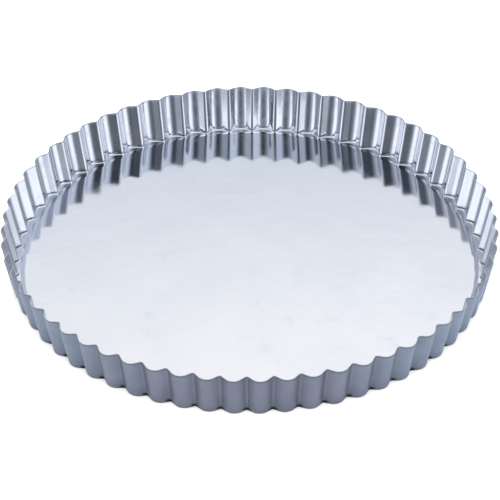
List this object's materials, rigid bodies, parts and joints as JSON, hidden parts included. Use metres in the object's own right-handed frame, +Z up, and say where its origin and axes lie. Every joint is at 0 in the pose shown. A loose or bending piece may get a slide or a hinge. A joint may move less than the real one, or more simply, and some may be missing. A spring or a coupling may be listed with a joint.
{
  "type": "fluted tart pan",
  "caption": "Shallow round baking pan with a flared, fluted wall, a plain scalloped rim and a flat loose base that lifts out.",
  "frame": {"origin": "middle of the pan's underside, on the plane of the table it stands on", "axes": "+Z up along the pan's axis; one of the wall's inward ridges stands on each of +X, -X, +Y and -Y"},
  "size_m": [0.2796, 0.2796, 0.0273],
  "materials": {
    "tinplate_wall": "bright tinned, with fine rolling lines and light smudges",
    "tinplate_base": "bright tinned and nearly a mirror, with light smudges and fine scratches"
  },
  "bodies": {
    "ring": {"fluted_ring": "tinplate_wall"},
    "base": {"loose_base": "tinplate_base"}
  },
  "joints": [
    {"name": "base_lift", "type": "slide", "parent": "ring", "child": "base", "axis": [0, 0, 1], "range_m": [0, 0.06]}
  ]
}
